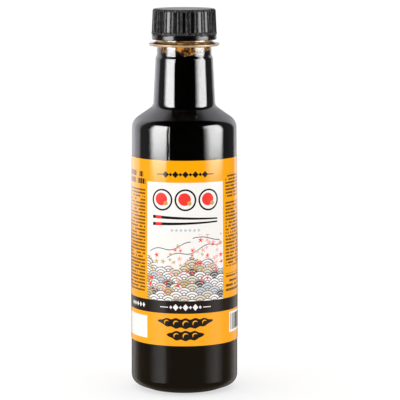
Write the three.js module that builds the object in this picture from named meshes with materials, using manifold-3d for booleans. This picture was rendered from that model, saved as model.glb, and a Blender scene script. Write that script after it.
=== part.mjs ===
import * as THREE from 'three';
import { mergeVertices } from 'three/addons/utils/BufferGeometryUtils.js';
import Module from 'manifold-3d';

// Soy sauce bottle: a clear round bottle with a carrying flange below its screw neck, the dark
// sauce inside, a label wrapped round the body, a ribbed screw cap and the tamper band under it.
// Millimetres, +Z up, standing on z = 0 with the front towards -Y.

// Roundness of the turned pieces
const SIDES = 48;
const ARC_STEP = 32; // degrees turned between two points of a rounded corner
const UPRIGHT = Math.PI / 2; // turns a lathe's axis from +Y to +Z
const SMALLEST_ROUND = 0.1; // least rounding left on the inside of a corner
const SAME_POINT = 1e-4; // points closer than this are one

// Base of the bottle
const PUSH_UP_HEIGHT = 3.6; // hollow under the base, at the middle
const PUSH_UP_RADIUS = 5;
const PUSH_UP_ROUND = 6;
const STAND_INNER_RADIUS = 12.6; // flat ring that the bottle stands on
const STAND_INNER_ROUND = 2;
const STAND_RADIUS = 17.2;
const STAND_ROUND = 5;
const BASE_RADIUS = 25.12;
const HEEL_RISE = 3.0;
const HEEL_ROUND = 4.9;

// Body and shoulder
const BELLY_RADIUS = 25.08;
const BELLY_HEIGHT = 60;
const SHOULDER_RADIUS = 24.53;
const SHOULDER_HEIGHT = 127;
const SHOULDER_ROUND = 6.2;

// Neck up to the flange
const NECK_FOOT_RADIUS = 14.52;
const NECK_FOOT_HEIGHT = 134;
const NECK_FOOT_ROUND = 3.5;
const NECK_STEP_RADIUS = 13.4;
const NECK_STEP_HEIGHT = 156.5;
const NECK_STEP_ROUND = 0.9;
const COLLAR_RADIUS = 12.75;
const COLLAR_HEIGHT = 157.8;
const COLLAR_ROUND = 0.6;

// Carrying flange and the neck finish above it
const FLANGE_RADIUS = 16.5;
const FLANGE_UNDERSIDE = 161.95;
const FLANGE_TIP_LOW = 162.35;
const FLANGE_TIP_HIGH = 163.35;
const FLANGE_TIP_ROUND = 0.45;
const FINISH_RADIUS = 13.2;
const FINISH_FOOT_HEIGHT = 164.1;
const FINISH_FOOT_ROUND = 0.8;
const BEAD_HEIGHT = 166.9; // top of the bead that holds the tamper band
const BEAD_ROUND = 0.5;
const MOUTH_RADIUS = 12.4;
const MOUTH_HEIGHT = 177.3;
const BORE_RADIUS = 10.9;
const BORE_FOOT_HEIGHT = 159.4;

// Wall of the bottle and the play between pieces
const WALL = 0.5;
const SAUCE_PLAY = 0.1;
const LABEL_PLAY = 0.05;

// Sauce
const SAUCE_LEVEL = 160.35;

// Label
const LABEL_BOTTOM = 23.95;
const LABEL_TOP = 110.65;
const LABEL_THICKNESS = 0.1;

// Tamper band
const BAND_RADIUS = 15.15;
const BAND_INNER_RADIUS = 13.5;
const BAND_BOTTOM = 165.15;
const BAND_TOP = 167.15;
const BAND_ROUND = 0.3;

// Screw cap
const CAP_BOTTOM = 167.5;
const CAP_TOP = 179.5;
const CAP_EDGE_ROUND = 1.2;
const RIM_RADIUS = 15.3;
const RIM_TOP = 168.55;
const RIB_PAIRS = 24; // a wide groove between pairs and a narrow one inside each pair
const RIB_FOOT_RADIUS = 15.22; // over the ribs, where they meet the rim
const RIB_HEAD_RADIUS = 14.75; // over the ribs, at the top of the cap
const RIB_HEIGHT = 0.5;
const RIB_FOOT_WIDTH = 1.05;
const RIB_CREST_WIDTH = 0.75;
const RIB_RAMP = 0.45; // height over which a groove runs out into the rim
const WIDE_GROOVE = 1.35; // floor of a groove between two pairs
const GROOVE_FACING = -89.9; // degrees, a wide groove at the front
const CAP_INNER_RADIUS = 13.5;
const CAP_CEILING = 177.7;
const CUT_MARGIN = 1; // how far a cutting tool reaches past the piece
const RIB_CLEARANCE = 0.1; // between the ribs' heads and the outline that trims them

// Finishes
const CLEAR_PLASTIC = { color: 0xdfe2e2, roughness: 0.06, metalness: 0, transparent: true, opacity: 0.3 };
const SAUCE = { color: 0x0b0503, roughness: 0.05, metalness: 0 };
const LABEL_FILM = { color: 0xfda806, roughness: 0.25, metalness: 0 };
const BLACK_PLASTIC = { color: 0x0b0b0d, roughness: 0.3, metalness: 0 };

const wasm = await Module();
wasm.setup();

// A corner is a point [radius, height, round], where round is the radius of the arc that replaces it.
function roundCorner(before, corner, after) {
  const at = new THREE.Vector2(corner[0], corner[1]);
  const back = new THREE.Vector2(before[0], before[1]).sub(at).normalize();
  const ahead = new THREE.Vector2(after[0], after[1]).sub(at).normalize();
  const between = Math.acos(THREE.MathUtils.clamp(back.dot(ahead), -1, 1));
  const turn = Math.PI - between;
  const round = corner[2] ?? 0;
  if (round === 0) return [at];
  const toArc = round * Math.tan(turn / 2);
  const halfway = back.clone().add(ahead).normalize();
  const middle = halfway.multiplyScalar(round / Math.sin(between / 2)).add(at);
  const start = back.clone().multiplyScalar(toArc).add(at).sub(middle);
  const side = Math.sign(-back.x * ahead.y + back.y * ahead.x);
  const steps = Math.ceil(turn / THREE.MathUtils.degToRad(ARC_STEP));
  return Array.from({ length: steps + 1 }, (_, i) =>
    start.clone().rotateAround(new THREE.Vector2(), (side * turn * i) / steps).add(middle));
}

// Outline through the corners, with each round corner drawn as an arc. The two ends stay sharp.
function outline(corners) {
  return corners.flatMap((corner, i) => {
    if (i === 0 || i === corners.length - 1) return [new THREE.Vector2(corner[0], corner[1])];
    return roundCorner(corners[i - 1], corner, corners[i + 1]);
  });
}

// Corners moved sideways by a distance, to the left of the way they run when it is positive.
function offsetCorners(corners, distance) {
  const edges = corners.slice(1).map((end, i) => {
    const along = new THREE.Vector2(end[0] - corners[i][0], end[1] - corners[i][1]).normalize();
    return new THREE.Vector2(-along.y, along.x);
  });
  return corners.map(([radius, height, round = 0], i) => {
    const first = edges[Math.max(i - 1, 0)];
    const second = edges[Math.min(i, edges.length - 1)];
    const move = first.clone().add(second);
    move.multiplyScalar((2 * distance) / move.lengthSq());
    const turnsLeft = first.x * second.y - first.y * second.x > 0;
    const moved = round + (turnsLeft ? -distance : distance);
    const newRound = round === 0 ? 0 : Math.max(moved, SMALLEST_ROUND);
    return [radius + move.x, height + move.y, newRound];
  });
}

// Solid of revolution about +Z.
function turned(corners) {
  return new THREE.LatheGeometry(outline(corners), SIDES).rotateX(UPRIGHT);
}

// Ring of revolution about +Z, whose outline closes on itself.
function turnedRing(corners) {
  return turned([...corners, corners[0]]);
}

// Geometry as a solid for joining and cutting.
function solid(geometry) {
  const bare = geometry.clone();
  bare.deleteAttribute('normal');
  bare.deleteAttribute('uv');
  const merged = mergeVertices(bare, SAME_POINT);
  const faces = merged.index.array;
  const kept = [];
  for (let i = 0; i < faces.length; i += 3) {
    const [a, b, c] = faces.slice(i, i + 3);
    if (a !== b && b !== c && c !== a) kept.push(a, b, c);
  }
  const vertProperties = merged.attributes.position.array;
  const triVerts = new Uint32Array(kept);
  return new wasm.Manifold(new wasm.Mesh({ numProp: 3, vertProperties, triVerts }));
}

// Joined or cut solid as a geometry again.
function geometryOf(body) {
  const mesh = body.getMesh();
  const geometry = new THREE.BufferGeometry();
  geometry.setAttribute('position', new THREE.BufferAttribute(mesh.vertProperties, mesh.numProp));
  geometry.setIndex(new THREE.BufferAttribute(mesh.triVerts, 1));
  geometry.computeVertexNormals();
  return geometry;
}

// Base, body, shoulder and neck, from the axis up to the step under the collar.
const bodyCorners = [
  [0, PUSH_UP_HEIGHT],
  [PUSH_UP_RADIUS, PUSH_UP_HEIGHT, PUSH_UP_ROUND],
  [STAND_INNER_RADIUS, 0, STAND_INNER_ROUND],
  [STAND_RADIUS, 0, STAND_ROUND],
  [BASE_RADIUS, HEEL_RISE, HEEL_ROUND],
  [BELLY_RADIUS, BELLY_HEIGHT],
  [SHOULDER_RADIUS, SHOULDER_HEIGHT, SHOULDER_ROUND],
  [NECK_FOOT_RADIUS, NECK_FOOT_HEIGHT, NECK_FOOT_ROUND],
  [NECK_STEP_RADIUS, NECK_STEP_HEIGHT, NECK_STEP_ROUND],
];

// Neck above the body: the collar, the flange and the plain finish that the cap covers.
const neckCorners = [
  [COLLAR_RADIUS, COLLAR_HEIGHT, COLLAR_ROUND],
  [COLLAR_RADIUS, FLANGE_UNDERSIDE],
  [FLANGE_RADIUS, FLANGE_TIP_LOW, FLANGE_TIP_ROUND],
  [FLANGE_RADIUS, FLANGE_TIP_HIGH, FLANGE_TIP_ROUND],
  [FINISH_RADIUS, FINISH_FOOT_HEIGHT, FINISH_FOOT_ROUND],
  [FINISH_RADIUS, BEAD_HEIGHT, BEAD_ROUND],
  [MOUTH_RADIUS, BEAD_HEIGHT],
  [MOUTH_RADIUS, MOUTH_HEIGHT],
];

// Radius of the body's straight wall at a height between the heel and the shoulder.
function bodyRadius(height) {
  const below = height < BELLY_HEIGHT;
  const [low, high] = below
    ? [[BASE_RADIUS, HEEL_RISE], [BELLY_RADIUS, BELLY_HEIGHT]]
    : [[BELLY_RADIUS, BELLY_HEIGHT], [SHOULDER_RADIUS, SHOULDER_HEIGHT]];
  return THREE.MathUtils.mapLinear(height, low[1], high[1], low[0], high[0]);
}

function bottleGeometry() {
  const bore = [[BORE_RADIUS, MOUTH_HEIGHT], [BORE_RADIUS, BORE_FOOT_HEIGHT]];
  const inside = offsetCorners(bodyCorners, WALL).reverse();
  return turned([...bodyCorners, ...neckCorners, ...bore, ...inside]);
}

function sauceGeometry() {
  const surfaceRadius = BORE_RADIUS - SAUCE_PLAY;
  const neck = [[surfaceRadius, BORE_FOOT_HEIGHT], [surfaceRadius, SAUCE_LEVEL], [0, SAUCE_LEVEL]];
  return turned([...offsetCorners(bodyCorners, WALL + SAUCE_PLAY), ...neck]);
}

function labelGeometry() {
  const heights = [LABEL_BOTTOM, BELLY_HEIGHT, LABEL_TOP];
  const face = (proud) => heights.map((height) => [bodyRadius(height) + proud, height]);
  return turnedRing([...face(LABEL_PLAY + LABEL_THICKNESS), ...face(LABEL_PLAY).reverse()]);
}

function bandGeometry() {
  return turnedRing([
    [BAND_INNER_RADIUS, BAND_BOTTOM],
    [BAND_RADIUS, BAND_BOTTOM, BAND_ROUND],
    [BAND_RADIUS, BAND_TOP],
    [BAND_INNER_RADIUS, BAND_TOP],
  ]);
}

// Upright ribs in pairs round the cap, as one outline carried up and narrowed towards the top.
function ribbedBarrel() {
  const pitch = (2 * Math.PI) / RIB_PAIRS;
  const firstGroove = THREE.MathUtils.degToRad(GROOVE_FACING);
  const floorRadius = RIB_FOOT_RADIUS - RIB_HEIGHT;
  const fromGroove = (WIDE_GROOVE + RIB_FOOT_WIDTH) / 2 / floorRadius;
  const footAngle = RIB_FOOT_WIDTH / 2 / floorRadius;
  const crestAngle = RIB_CREST_WIDTH / 2 / RIB_FOOT_RADIUS;
  const ribCorners = [
    [-footAngle, floorRadius],
    [-crestAngle, RIB_FOOT_RADIUS],
    [crestAngle, RIB_FOOT_RADIUS],
    [footAngle, floorRadius],
  ];
  const ribs = Array.from({ length: RIB_PAIRS }, (_, i) => firstGroove + i * pitch).flatMap((groove) =>
    [groove + fromGroove, groove + pitch - fromGroove]);
  const section = new THREE.Shape(ribs.flatMap((rib) => ribCorners.map(([aside, radius]) =>
    new THREE.Vector2(radius, 0).rotateAround(new THREE.Vector2(), rib + aside))));
  const depth = CAP_TOP - RIM_TOP;
  const barrel = new THREE.ExtrudeGeometry(section, { depth, steps: 1, bevelEnabled: false });
  const places = barrel.attributes.position;
  const headScale = RIB_HEAD_RADIUS / RIB_FOOT_RADIUS;
  for (let i = 0; i < places.count; i += 1) {
    const narrowed = THREE.MathUtils.mapLinear(places.getZ(i), 0, depth, 1, headScale);
    places.setXY(i, places.getX(i) * narrowed, places.getY(i) * narrowed);
  }
  return barrel.translate(0, 0, RIM_TOP);
}

function capGeometry() {
  const floorRadius = RIB_FOOT_RADIUS - RIB_HEIGHT;
  const rim = turned([
    [0, CAP_BOTTOM],
    [RIM_RADIUS, CAP_BOTTOM],
    [RIM_RADIUS, RIM_TOP],
    [floorRadius, RIM_TOP + RIB_RAMP],
    [0, RIM_TOP + RIB_RAMP],
  ]);
  const envelope = turned([
    [0, CAP_BOTTOM - CUT_MARGIN],
    [RIM_RADIUS + CUT_MARGIN, CAP_BOTTOM - CUT_MARGIN],
    [RIM_RADIUS + CUT_MARGIN, RIM_TOP],
    [RIB_HEAD_RADIUS + RIB_CLEARANCE, CAP_TOP, CAP_EDGE_ROUND],
    [0, CAP_TOP],
  ]);
  const hollow = turned([
    [0, CAP_BOTTOM - CUT_MARGIN],
    [CAP_INNER_RADIUS, CAP_BOTTOM - CUT_MARGIN],
    [CAP_INNER_RADIUS, CAP_CEILING],
    [0, CAP_CEILING],
  ]);
  const outside = solid(ribbedBarrel()).add(solid(rim)).intersect(solid(envelope));
  return geometryOf(outside.subtract(solid(hollow)));
}

const bottle = new THREE.Group();
const pieces = [
  ['bottle', bottleGeometry(), CLEAR_PLASTIC],
  ['soy_sauce', sauceGeometry(), SAUCE],
  ['label', labelGeometry(), LABEL_FILM],
  ['tamper_band', bandGeometry(), BLACK_PLASTIC],
  ['cap', capGeometry(), BLACK_PLASTIC],
];
for (const [name, geometry, finish] of pieces) {
  const mesh = new THREE.Mesh(geometry, new THREE.MeshStandardMaterial(finish));
  mesh.name = name;
  bottle.add(mesh);
}

export default bottle;
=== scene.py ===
"""Soy sauce bottle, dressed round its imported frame.

Every piece is a surface on a grid of rows and columns. A row follows an outline from the bottle's foot
upwards and a column follows the way round the upright axis, from the front towards the right. Lengths
are metres, apart from the label's print, which is laid out in millimetres along and up the film.
"""

import math

import bpy
import numpy as np
from bpy.props import FloatProperty, FloatVectorProperty, IntProperty, PointerProperty
from mathutils import Color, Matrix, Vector


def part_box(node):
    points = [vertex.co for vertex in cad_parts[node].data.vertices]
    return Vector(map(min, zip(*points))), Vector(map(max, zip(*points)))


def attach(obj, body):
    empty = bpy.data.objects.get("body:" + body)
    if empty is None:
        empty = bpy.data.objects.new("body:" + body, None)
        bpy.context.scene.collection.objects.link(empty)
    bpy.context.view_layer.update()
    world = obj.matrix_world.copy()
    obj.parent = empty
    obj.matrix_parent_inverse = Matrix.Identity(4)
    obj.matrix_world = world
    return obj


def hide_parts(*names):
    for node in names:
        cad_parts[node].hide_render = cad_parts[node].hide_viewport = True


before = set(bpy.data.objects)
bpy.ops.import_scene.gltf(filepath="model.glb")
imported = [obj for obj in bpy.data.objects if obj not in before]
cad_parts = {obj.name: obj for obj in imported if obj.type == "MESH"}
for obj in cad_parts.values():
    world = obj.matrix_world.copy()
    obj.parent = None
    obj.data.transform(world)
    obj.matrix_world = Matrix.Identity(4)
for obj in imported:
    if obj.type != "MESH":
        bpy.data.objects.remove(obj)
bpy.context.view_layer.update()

bl_info = {
    "name": "Soy Sauce Bottle",
    "version": (1, 0, 0),
    "blender": (4, 5, 0),
    "location": "3D View > Sidebar > Soy Bottle",
    "description": "Builds a clear bottle of soy sauce with its label, cap and tamper band",
    "category": "Object",
}

MM = 0.001
BODY = "root"
LABEL_UV = "film_mm"
BUBBLE_TONE_AND_PAINTED_GLOW = "bubble_tone_and_painted_glow"


def span(node):
    """Outer radius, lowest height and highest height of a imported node."""
    low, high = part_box(node)
    return high[0], low[2], high[2]


LABEL_BOTTOM, LABEL_TOP = span("label")[1:]
BAND_RADIUS, BAND_BOTTOM, BAND_TOP = span("tamper_band")
CAP_RADIUS, CAP_BOTTOM, CAP_TOP = span("cap")
SAUCE_LEVEL = span("soy_sauce")[2]
MOUTH_HEIGHT = span("bottle")[2]


def known_length(name, description, metres):
    """A size that a user may change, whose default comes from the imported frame."""
    return FloatProperty(name=name, description=description, default=metres, min=0.0, unit="LENGTH",
                         precision=5)


def length(name, description, millimetres):
    """A size that a user may change, given in millimetres and kept in metres."""
    return known_length(name, description, millimetres * MM)


def amount(name, description, default, least):
    """A whole number that a user may change."""
    return IntProperty(name=name, description=description, default=default, min=least)


def tint(name, description, red, green, blue):
    """A colour that a user may change."""
    return FloatVectorProperty(name=name, description=description, default=(red, green, blue), size=3,
                               min=0.0, max=1.0, subtype="COLOR")


def turn(name, description, degrees):
    """An angle that a user may change."""
    return FloatProperty(name=name, description=description, default=math.radians(degrees), unit="ROTATION")


class BottleSizes(bpy.types.PropertyGroup):
    """Outline of the clear bottle, from the middle of its base to its mouth."""

    push_up_height: length("Push-up height", "Hollow under the base, at the middle", 3.6)
    push_up_radius: length("Push-up radius", "Flat middle of the hollow under the base", 5.0)
    push_up_round: length("Push-up round", "Rounding at the middle of the base", 6.0)
    stand_inner_radius: length("Stand inner radius", "Inner edge of the standing ring", 12.6)
    stand_inner_round: length("Stand inner round", "Rounding of that inner edge", 2.0)
    stand_radius: length("Stand radius", "Outer edge of the standing ring", 17.2)
    stand_round: length("Stand round", "Rounding of that outer edge", 5.0)
    base_radius: length("Base radius", "Body just above the heel", 25.12)
    heel_rise: length("Heel rise", "Height of the heel's sharp corner", 3.0)
    heel_round: length("Heel round", "Rounding of the heel", 4.9)
    belly_radius: length("Belly radius", "Body where it begins to narrow", 25.08)
    belly_height: length("Belly height", "Height where the body begins to narrow", 60.0)
    belly_round: length("Belly round", "Large rounding of that change of slope", 4000.0)
    shoulder_radius: length("Shoulder radius", "Body at the shoulder's sharp corner", 24.53)
    shoulder_height: length("Shoulder height", "Height of the shoulder's sharp corner", 127.0)
    shoulder_round: length("Shoulder round", "Rounding of the shoulder", 6.2)
    neck_foot_radius: length("Neck foot radius", "Neck where the shoulder meets it", 14.52)
    neck_foot_height: length("Neck foot height", "Height where the shoulder meets the neck", 134.0)
    neck_foot_round: length("Neck foot round", "Hollow rounding at the neck's foot", 3.5)
    neck_step_radius: length("Neck step radius", "Top of the tapering neck", 13.4)
    neck_step_height: length("Neck step height", "Height of the step at the neck's top", 156.5)
    neck_step_round: length("Neck step round", "Rounding of the step", 0.9)
    collar_radius: length("Collar radius", "Straight collar under the flange", 12.75)
    collar_height: length("Collar height", "Foot of the collar", 157.8)
    collar_round: length("Collar round", "Hollow rounding at the collar's foot", 0.6)
    flange_radius: length("Flange radius", "Carrying flange", 16.5)
    flange_underside: length("Flange underside", "Flange where it leaves the collar", 161.95)
    flange_tip_low: length("Flange tip low", "Lower edge of the flange's rim", 162.35)
    flange_tip_high: length("Flange tip high", "Upper edge of the flange's rim", 163.35)
    flange_tip_round: length("Flange tip round", "Rounding of the flange's rim", 0.45)
    finish_radius: length("Finish radius", "Neck above the flange", 13.2)
    finish_foot_height: length("Finish foot", "Height where the flange's top meets the neck", 164.1)
    finish_foot_round: length("Finish foot round", "Hollow rounding on the flange's top", 0.8)
    bead_height: length("Bead height", "Top of the bead that holds the tamper band", 166.9)
    bead_round: length("Bead round", "Rounding of the bead", 0.5)
    mouth_radius: length("Mouth radius", "Neck inside the cap", 12.4)
    mouth_height: known_length("Mouth height", "Top of the neck, inside the cap", MOUTH_HEIGHT)
    bore_radius: length("Bore radius", "Inside of the neck", 10.9)
    bore_foot_height: length("Bore foot", "Height where the bore begins to widen", 159.4)
    wall: length("Wall", "Thickness of the blown wall", 0.5)
    seam_facing: turn("Seam facing", "Angle from the front to the nearer mould seam", -15.75)
    seam_height: length("Seam height", "How far a mould seam stands out", 0.035)
    seam_width: length("Seam width", "Half width of a mould seam", 0.17)


class SauceSizes(bpy.types.PropertyGroup):
    """The sauce, its surface in the neck and the froth on it."""

    level: known_length("Level", "Height of the sauce in the neck", SAUCE_LEVEL)
    reach: length("Reach", "How far the sauce reaches into the wall", 0.3)
    meniscus: length("Meniscus", "How far the surface climbs at the wall", 0.7)
    froth_depth: length("Froth depth", "How far the froth keeps the sauce off the wall", 1.8)
    film_foot: length("Film foot", "Height where the froth gives way to a wet film", 161.8)
    film_top: length("Film top", "Height that the wet film reaches in the neck", 167.5)
    film_thickness: length("Film thickness", "Thickness of the wet film", 0.5)
    bubble_count: amount("Bubbles", "Bubbles in the froth", 330, 1)
    small_bubble: length("Small bubble", "Radius of the smallest bubbles", 0.45)
    large_bubble: length("Large bubble", "Radius of the largest bubbles", 1.5)
    sauce_colour: tint("Sauce", "Near-black brown of the sauce", 0.0005, 0.0004, 0.0003)
    froth_colour: tint("Froth", "Amber of the paler bubbles", 0.74, 0.35, 0.05)
    froth_dark: tint("Dark froth", "Brown of the darker bubbles", 0.035, 0.011, 0.002)
    # Painted light: the brightest bubbles take this orange in place of light coming through the sauce
    froth_painted_glow: tint("Froth glow", "Orange of the brightest bubbles", 0.95, 0.30, 0.02)
    film_colour: tint("Wet film", "Golden amber of the film on the wall", 0.82, 0.53, 0.19)
    film_dark: tint("Film streaks", "Dark amber where the film is thick", 0.30, 0.14, 0.04)


class CapSizes(bpy.types.PropertyGroup):
    """The ribbed screw cap and the tamper band under it."""

    radius: known_length("Rim radius", "Plain rim at the cap's foot", CAP_RADIUS)
    bottom: known_length("Cap bottom", "Lower edge of the cap", CAP_BOTTOM)
    top: known_length("Cap top", "Top face of the cap", CAP_TOP)
    rim_top: length("Rim top", "Height where the grooves run out", 168.55)
    ramp: length("Groove run-out", "Height over which a groove runs out", 0.45)
    rib_pairs: amount("Rib pairs", "Pairs of upright ribs round the cap", 24, 8)
    rib_foot_radius: length("Rib foot radius", "Over the ribs at the rim", 15.22)
    rib_head_radius: length("Rib head radius", "Over the ribs at the top", 14.75)
    rib_height: length("Rib height", "How far a rib stands out", 0.5)
    rib_width: length("Rib width", "Width of a rib halfway up its side", 0.8)
    rib_edge: length("Rib edge", "Width over which a rib's side rises", 0.36)
    wide_groove: length("Wide groove", "Floor of a groove between two pairs of ribs", 1.35)
    groove_facing: turn("Groove facing", "Angle of the wide groove nearest the front", 0.1)
    edge_round: length("Edge round", "Rounding of the cap's top edge", 1.2)
    inner_radius: length("Inner radius", "Inside of the cap", 13.5)
    ceiling: length("Ceiling", "Inside of the cap's top", 177.7)
    band_radius: known_length("Band radius", "Outside of the tamper band", BAND_RADIUS)
    band_inner_radius: length("Band inner radius", "Inside of the tamper band", 13.5)
    band_bottom: known_length("Band bottom", "Lower edge of the tamper band", BAND_BOTTOM)
    band_top: known_length("Band top", "Upper edge of the tamper band", BAND_TOP)
    band_round: length("Band round", "Rounding of the band's lower edge", 0.3)
    bridge_count: amount("Bridges", "Thin bridges to the cap", 16, 1)
    bridge_width: length("Bridge width", "Width of a bridge", 0.7)
    plastic_colour: tint("Plastic", "Black of the smooth grooves and the band", 0.0012, 0.0012, 0.0014)
    matt_colour: tint("Matt plastic", "Charcoal of the grained ribs and rim", 0.003, 0.0029, 0.003)


class LabelDesign(bpy.types.PropertyGroup):
    """The label film and the colours of its print."""

    bottom: known_length("Label bottom", "Lower edge of the film", LABEL_BOTTOM)
    top: known_length("Label top", "Upper edge of the film", LABEL_TOP)
    thickness: length("Film thickness", "Thickness of the film", 0.1)
    play: length("Play", "Film's height over the bottle's surface", 0.05)
    overlap: length("Overlap", "Film laid over its own end at the back", 7.0)
    field: tint("Field", "Warm orange at the top of the field", 0.93, 0.372, 0.0008)
    low_field: tint("Lower field", "Warm orange at the foot of the field", 0.93, 0.385, 0.016)
    paper: tint("Panel", "White of the panel and the boxes", 0.875, 0.85, 0.82)
    black: tint("Black", "Black of the band and the ornaments", 0.013, 0.010, 0.009)
    red: tint("Red", "Red of the small accents", 0.86, 0.045, 0.035)
    pink: tint("Pink", "Paler leaves", 0.86, 0.40, 0.37)
    ink: tint("Ink", "Dark grey of the drawn lines", 0.085, 0.085, 0.09)
    wash: tint("Wash", "Pale blue grey of shaded waves", 0.52, 0.56, 0.60)
    sand: tint("Sand", "Pale sand of other waves", 0.72, 0.60, 0.42)
    ochre: tint("Ochre", "Ochre accents", 0.58, 0.36, 0.10)


class StudioSetup(bpy.types.PropertyGroup):
    """Camera, floor and light."""

    aim_height: length("Aim height", "Height on the axis that the camera looks at", 89.264)
    aim_aside: length("Aim aside", "How far right of the axis the camera looks", 7.39)
    distance: length("Distance", "Camera to the bottle's axis", 1132.8)
    elevation: turn("Elevation", "Camera above the horizon", 7.46)
    lens: FloatProperty(name="Lens", description="Focal length for a 36 mm sensor", default=216.0, min=1.0)
    floor_radius: length("Floor radius", "Pale round floor", 9000.0)
    floor_colour: tint("Floor", "Pale floor", 0.33, 0.33, 0.33)


class SoyBottleSettings(bpy.types.PropertyGroup):
    """All settings of the bottle."""

    bottle: PointerProperty(type=BottleSizes)
    sauce: PointerProperty(type=SauceSizes)
    cap: PointerProperty(type=CapSizes)
    label: PointerProperty(type=LabelDesign)
    studio: PointerProperty(type=StudioSetup)


# Outlines

ARC_STEP = math.radians(6.0)
LONG_STRETCH = 8.0 * MM
STRETCH_END = 0.5 * MM
LEAST_ROUND = 0.1 * MM


def unit(vector):
    """The vector at length one."""
    return vector / np.linalg.norm(vector)


def fillet(before, corner, after):
    """Arc that replaces a corner of an outline. Its centre lies on the line that halves the corner, at the
    distance where a circle of the corner's round touches both edges, and it runs from edge to edge."""
    at, round_radius = corner[:2], corner[2]
    if round_radius == 0.0:
        return at[None]
    back = unit(before[:2] - at)
    ahead = unit(after[:2] - at)
    between = math.acos(np.clip(back @ ahead, -1.0, 1.0))
    swing = math.pi - between
    centre = at + unit(back + ahead) * round_radius / math.sin(between / 2)
    start = at + back * round_radius * math.tan(swing / 2) - centre
    side = np.sign(back[1] * ahead[0] - back[0] * ahead[1])
    angle = side * np.linspace(0.0, swing, max(2, math.ceil(swing / ARC_STEP)) + 1)
    across = start[0] * np.cos(angle) - start[1] * np.sin(angle)
    up = start[0] * np.sin(angle) + start[1] * np.cos(angle)
    return np.stack([across, up], axis=1) + centre


def outline(corners):
    """Points of an outline through corners of radius, height and round. The two ends stay sharp. A long
    straight stretch gets two more points near its ends, which keep its shading flat."""
    corners = np.array(corners, dtype=float)
    middle = [fillet(*corners[i - 1:i + 2]) for i in range(1, len(corners) - 1)]
    points = np.vstack([corners[:1, :2], *middle, corners[-1:, :2]])
    along = np.diff(points, axis=0)
    stretch = np.linalg.norm(along, axis=1)
    long = np.flatnonzero(stretch > LONG_STRETCH)
    step = along[long] * (STRETCH_END / stretch[long])[:, None]
    after = np.repeat(long + 1, 2)
    added = np.stack([points[long] + step, points[long + 1] - step], axis=1).reshape(-1, 2)
    return np.insert(points, after, added, axis=0)


def offset_corners(corners, distance):
    """Corners moved to the left of the way they run: each edge moves by the distance along its own normal,
    and a corner goes to where its two moved edges cross. Left turns get a smaller round."""
    corners = np.array(corners, dtype=float)
    along = np.diff(corners[:, :2], axis=0)
    along /= np.linalg.norm(along, axis=1, keepdims=True)
    normal = np.stack([-along[:, 1], along[:, 0]], axis=1)
    first = np.vstack([normal[:1], normal])
    second = np.vstack([normal, normal[-1:]])
    move = first + second
    move *= 2 * distance / np.sum(move ** 2, axis=1, keepdims=True)
    left = first[:, 0] * second[:, 1] - first[:, 1] * second[:, 0] > 0
    rounds = np.maximum(corners[:, 2] + np.where(left, -distance, distance), LEAST_ROUND)
    rounds = np.where(corners[:, 2] == 0.0, 0.0, rounds)
    return np.column_stack([corners[:, :2] + move, rounds])


def ease(low, high, value):
    """Smooth step from 0 at low to 1 at high: three t squared less two t cubed."""
    t = np.clip((value - low) / (high - low), 0.0, 1.0)
    return t * t * (3.0 - 2.0 * t)


# Surfaces

def swept(radius, height, angle, ring=False):
    """Surface round the upright axis: row i and column j lie at radius[i, j] and height[i, j], turned by
    angle[j] from the front. Columns close on themselves. The rows of a ring close too, and otherwise a
    first or last row on the axis becomes one point."""
    rows, columns = radius.shape
    points = np.stack([radius * np.sin(angle), -radius * np.cos(angle), height + 0.0 * radius], axis=-1)
    index = np.arange(rows * columns).reshape(rows, columns)
    low = index if ring else index[:-1]
    high = np.roll(index, -1, axis=0) if ring else index[1:]
    quads = np.stack([low, np.roll(low, -1, axis=1), np.roll(high, -1, axis=1), high], axis=-1)
    triangles = []
    if not ring and np.allclose(radius[0], 0.0):
        fan = quads[0][:, [0, 2, 3]].copy()
        fan[:, 0] = index[0, 0]
        triangles.append(fan)
        quads = quads[1:]
    if not ring and np.allclose(radius[-1], 0.0):
        fan = quads[-1][:, [0, 1, 2]].copy()
        fan[:, 2] = index[-1, 0]
        triangles.append(fan)
        quads = quads[:-1]
    quads = quads.reshape(-1, 4)
    triangles = np.concatenate(triangles) if triangles else np.empty((0, 3), dtype=int)
    used, place = np.unique(np.concatenate([quads.ravel(), triangles.ravel()]), return_inverse=True)
    kept = points.reshape(-1, 3)[used]
    return kept, place[:quads.size].reshape(-1, 4), place[quads.size:].reshape(-1, 3)


def around(columns):
    """Even angles once round the axis, from the front."""
    return np.arange(columns) * 2 * math.pi / columns


def turned(profile, columns):
    """An outline turned about the axis: the same radius and height all the way round."""
    radius = np.repeat(profile[:, :1], columns, axis=1)
    return swept(radius, profile[:, 1:], around(columns))


def copies(points, quads, triangles, scales, centres):
    """One shape repeated: copy n is the shape times scales[n], moved to centres[n]."""
    count = len(centres)
    step = (np.arange(count) * len(points))[:, None, None]
    every_point = points[None] * scales[:, None, :] + centres[:, None, :]
    return every_point.reshape(-1, 3), (quads + step).reshape(-1, 4), (triangles + step).reshape(-1, 3)


SHARP_ANGLE = math.radians(35.0)


def make_piece(name, surface, material):
    """Puts a surface into a mesh object at the origin that rides on the bottle's one body. Edges that turn
    by more than the sharp angle stay crisp."""
    points, quads, triangles = surface
    mesh = bpy.data.meshes.new(name)
    mesh.from_pydata(points.tolist(), [], quads.tolist() + triangles.tolist())
    mesh.polygons.foreach_set("use_smooth", np.ones(len(mesh.polygons), dtype=bool))
    mesh.set_sharp_from_angle(angle=SHARP_ANGLE)
    mesh.materials.append(material)
    if mesh.validate():
        raise RuntimeError(name + " has faces that Blender had to mend")
    piece = bpy.data.objects.new(name, mesh)
    bpy.context.scene.collection.objects.link(piece)
    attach(piece, BODY)
    return piece


# Outline of the bottle

BORE_FOOT_ROUND = 1.5 * MM


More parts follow.
